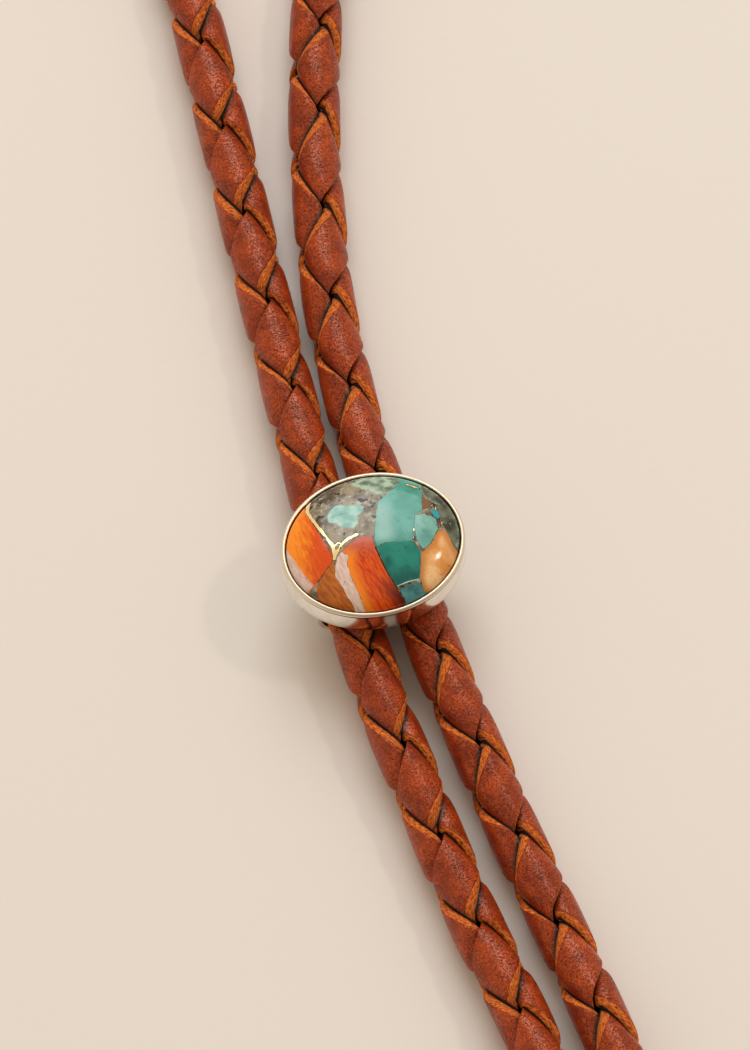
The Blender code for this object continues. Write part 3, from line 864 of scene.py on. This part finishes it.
SEAMS = {
    # painted_sheen is a painted highlight: a broad pale band where the turquoise shows its sheen
    "painted_sheen": ([(830, 420), (850, 560)], 0.9),
    "rose_swirl": ([(706, 700), (716, 704)], 0.8),
    "dark_seam": ([(785, 660), (870, 840), (985, 1015)], 0.080),
    "shell_seam": ([(502, 748), (368, 932)], 0.045),
    "aqua_crack": ([(488, 460), (540, 440), (592, 430)], 0.034),
    "long_crack": ([(828, 388), (930, 470), (1042, 592)], 0.034),
    "short_crack": ([(1034, 428), (1090, 442), (1132, 450)], 0.036),
    "pale_line": ([(938, 926), (1010, 897), (1080, 880)], 0.070),
}
BRONZE = [([(338, 350), (318, 415), (345, 462), (400, 530), (455, 600), (496, 655), (508, 742)], 0.190),
          ([(508, 742), (548, 650), (600, 605), (666, 572)], 0.120),
          ([(505, 665), (530, 632), (556, 640), (548, 672), (512, 690)], 0.070),
          ([(1170, 378), (1184, 368), (1198, 384), (1196, 404)], 0.055),
          ([(1210, 482), (1230, 476), (1240, 500), (1222, 522), (1210, 510)], 0.055),
          ([(1048, 536), (1046, 580), (1050, 622)], 0.070),
          ([(1000, 236), (1050, 250), (1090, 264)], 0.060)]


def enlarged_pixel(points):
    """Where the photo, enlarged, shows points of the model: pixels right and down."""
    seen = points - np.array(camera.location)
    depth = -seen @ np.array(view_back)
    focus = PIXELS_PER_METRE * VIEW_DISTANCE
    across = PHOTO_WIDTH / 2 + focus * (seen @ np.array(view_right)) / depth
    down = PHOTO_HEIGHT / 2 - focus * (seen @ np.array(view_up)) / depth
    return np.column_stack([across - ENLARGED_LEFT, down - ENLARGED_TOP]) * ENLARGEMENT


def distance_to_line(places, line):
    """Distance of each place from a line of several pieces, in pixels."""
    nearest = np.full(len(places), np.inf)
    for a, b in zip(np.array(line[:-1], float), np.array(line[1:], float)):
        share = np.clip((places - a) @ (b - a) / ((b - a) @ (b - a)), 0, 1)
        nearest = np.minimum(nearest, np.linalg.norm(places - a - share[:, None] * (b - a), axis=1))
    return nearest


def inside_outline(places, outline):
    """True for each place inside the outline: a ray from it crosses the outline an odd number of times."""
    inside = np.zeros(len(places), bool)
    for (ax, ay), (bx, by) in zip(outline, outline[1:] + outline[:1]):
        if ay != by:
            crosses = (places[:, 1] > ay) != (places[:, 1] > by)
            inside ^= crosses & (places[:, 0] < ax + (places[:, 1] - ay) * (bx - ax) / (by - ay))
    return inside


stone_points = np.array([vertex.co for vertex in stone.data.vertices])
stone_places = enlarged_pixel(stone_points)
for chip, outline in CHIPS.items():
    away = distance_to_line(stone_places, outline + outline[:1]) / PIXELS_PER_MM
    store(stone, chip, np.where(inside_outline(stone_places, outline), away, -away)[:, None])
for seam, (line, half_width) in SEAMS.items():
    store(stone, seam, (half_width - distance_to_line(stone_places, line) / PIXELS_PER_MM)[:, None])
seen_mm = (stone_places - STREAKS_MIDDLE) / (PIXELS_PER_MM, -PIXELS_PER_MM)
store(stone, "seen", np.column_stack([seen_mm, stone_points[:, 2]]))
veins = [half_width - distance_to_line(stone_places, line) / PIXELS_PER_MM for line, half_width in BRONZE]
store(stone, "bronze", np.max(veins, axis=0)[:, None])
print(len(CHIPS), "chips,", len(SEAMS), "seams and", len(BRONZE), "bronze veins")

# %% [markdown]
# ## Colours of the stone
# The grey-brown matrix comes first, and each chip is laid over it with a thin dark line round it. Shell
# grows in layers, so its colour runs in streaks, made by a noise that is stretched along them. The
# turquoise is cloudy and has dark specks. The whole is polished like glass, and only the bronze is metal.

# %% Stone material


def streaks(look, turn, scale=0.8, across=4.0):
    """A noise drawn out along one direction of the view, turned from straight down by some degrees."""
    seen = look.add("Mapping", {"Vector": look.attribute("seen", "Vector"),
                                "Rotation": (0, 0, math.radians(turn))})
    return look.noise(scale, 5, look.stretched(seen, (across, 1, 1)))


def cloudy(look, scale, dark, light, low=0.35, high=0.65):
    return look.mix(look.fade(look.noise(scale, 4), low, high), dark, light)


def stone_finish():
    look = Finish("composite_stone")
    seen_parts = look.add("SeparateXYZ", {"Vector": look.attribute("seen", "Vector")}).node
    right, up = seen_parts.outputs["X"], seen_parts.outputs["Y"]
    rough_edge = look.math("MULTIPLY", look.math("SUBTRACT", look.noise(1300, 4), 0.5), 0.30)
    line_gaps = look.fade(look.noise(800, 3), 0.38, 0.6)
    specks = look.fade(look.noise(2600, 3), 0.66, 0.74)

    matrix = cloudy(look, 520, screen(84, 70, 50), screen(156, 142, 116))
    matrix = look.mix(look.fade(look.noise(1500, 5), 0.5, 0.75), matrix, screen(186, 184, 166))
    matrix = look.mix(look.fade(look.noise(1600, 5), 0.43, 0.35), matrix, screen(46, 38, 28))
    olive = cloudy(look, 600, screen(58, 58, 44), screen(112, 116, 96))
    olive = look.mix(look.fade(look.noise(1500, 3), 0.58, 0.68), olive, screen(140, 166, 148))
    green = cloudy(look, 900, screen(92, 112, 92), screen(176, 196, 172))
    turquoise = cloudy(look, 330, screen(60, 146, 128), screen(104, 178, 162), 0.3, 0.7)
    turquoise = look.mix(look.fade(look.noise(700, 3), 0.6, 0.75), turquoise, screen(46, 124, 104))
    # Painted highlight: the turquoise is mixed halfway to a pale aqua along a broad band
    turquoise = look.mix(look.fade(look.attribute("painted_sheen"), -0.9, 0.7), turquoise,
                         look.mix(0.55, turquoise, screen(170, 208, 200)))
    teal = cloudy(look, 420, screen(6, 94, 84), screen(34, 136, 118))
    shell_turn = look.math("ADD", right, look.math("MULTIPLY", streaks(look, -23), 5.0))
    shell = look.mix(look.fade(shell_turn, -6.4, -3.4), screen(255, 146, 28), screen(222, 78, 8))
    red = look.mix(look.fade(streaks(look, -33), 0.36, 0.62), screen(200, 54, 4), screen(232, 92, 12))
    red = look.mix(look.fade(look.attribute("mauve"), -1.5, -0.1), red, screen(250, 136, 30))
    red = look.mix(look.math("MULTIPLY", look.fade(up, -1.6, 0.6), 0.8), red, screen(196, 96, 70))
    rings = look.math("SINE", look.math("ADD", look.math("MULTIPLY", look.attribute("rose_swirl"), 14.0),
                                        look.math("MULTIPLY", look.noise(420, 3), 17.0)))
    swirl = look.math("MULTIPLY", look.fade(look.attribute("rose_swirl"), -0.2, 0.3), look.fade(rings, 0, 1))
    red = look.mix(look.math("MULTIPLY", swirl, 0.4), red, screen(150, 52, 36))
    deep = look.math("MULTIPLY", look.fade(look.attribute("dark_seam"), -2.2, -0.1),
                     look.fade(up, -2.5, -5.5))
    red = look.mix(deep, red, screen(96, 24, 6))
    amber = look.mix(look.fade(streaks(look, -40), 0.35, 0.65), screen(170, 84, 20), screen(202, 112, 34))
    mauve = look.mix(look.fade(streaks(look, -33), 0.3, 0.7), screen(214, 180, 164), screen(240, 212, 198))
    pale_amber = look.mix(look.fade(look.noise(420, 4), 0.35, 0.65), screen(226, 146, 66),
                          screen(250, 200, 140))
    pale_amber = look.mix(look.fade(look.attribute("right_amber"), 0.9, 0.1), pale_amber,
                          screen(206, 132, 66))
    finishes = {
        "green_speckle": green,
        "olive": olive,
        "aqua": cloudy(look, 700, screen(126, 180, 168), screen(180, 214, 202)),
        "turquoise": turquoise,
        "teal": teal,
        "blue_teal": cloudy(look, 700, screen(44, 100, 104), screen(88, 150, 150)),
        "light_aqua": cloudy(look, 400, screen(92, 156, 146), screen(136, 190, 176)),
        "right_amber": pale_amber,
        "left_shell": shell,
        "pale_rim": mauve,
        "amber": amber,
        "mauve": mauve,
        "red_shell": red,
        "blue_bit": screen(40, 158, 172),
        "brown_bit": screen(128, 92, 62),
    }
    soft_bordered = ("pale_rim", "green_speckle", "aqua")
    colour = matrix
    for chip, finish in finishes.items():
        depth = look.math("ADD", look.attribute(chip), rough_edge)
        if chip in soft_bordered:
            colour = look.mix(look.fade(depth, -0.12, 0.12), colour, finish)
            continue
        rim = look.math("MULTIPLY", look.fade(depth, -0.06, -0.02), line_gaps)
        colour = look.mix(rim, colour, screen(50, 36, 26))
        colour = look.mix(look.fade(depth, -0.015, 0.02), colour, finish)
    colour = look.mix(look.math("MULTIPLY", specks, 0.6), colour, screen(40, 40, 34))
    for seam, tint in (("pale_line", screen(176, 214, 206)), ("dark_seam", screen(30, 16, 10)),
                       ("shell_seam", screen(60, 28, 14)), ("aqua_crack", screen(50, 76, 68)),
                       ("long_crack", screen(36, 96, 86)), ("short_crack", screen(50, 64, 56))):
        depth = look.math("ADD", look.attribute(seam), look.math("MULTIPLY", rough_edge, 0.3))
        colour = look.mix(look.fade(depth, 0.0, 0.02), colour, tint)
    vein = look.math("ADD", look.attribute("bronze"), look.math("MULTIPLY", rough_edge, 1.3))
    colour = look.mix(look.fade(vein, -0.08, -0.03), colour, screen(52, 34, 20))
    bronze = look.fade(vein, 0.0, 0.02)
    colour = look.mix(bronze, colour, screen(252, 222, 164))
    look.set(Base_Color=colour, Metallic=look.math("MULTIPLY", bronze, 0.5), Roughness=0.12,
             Normal=look.bump(look.noise(900, 3), 0.00001, 0.3))
    look.set(Specular_IOR_Level=0.36)
    return look.material


stone.data.materials.append(stone_finish())
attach(stone, "slide")
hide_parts("cabochon")
print("stone finished")
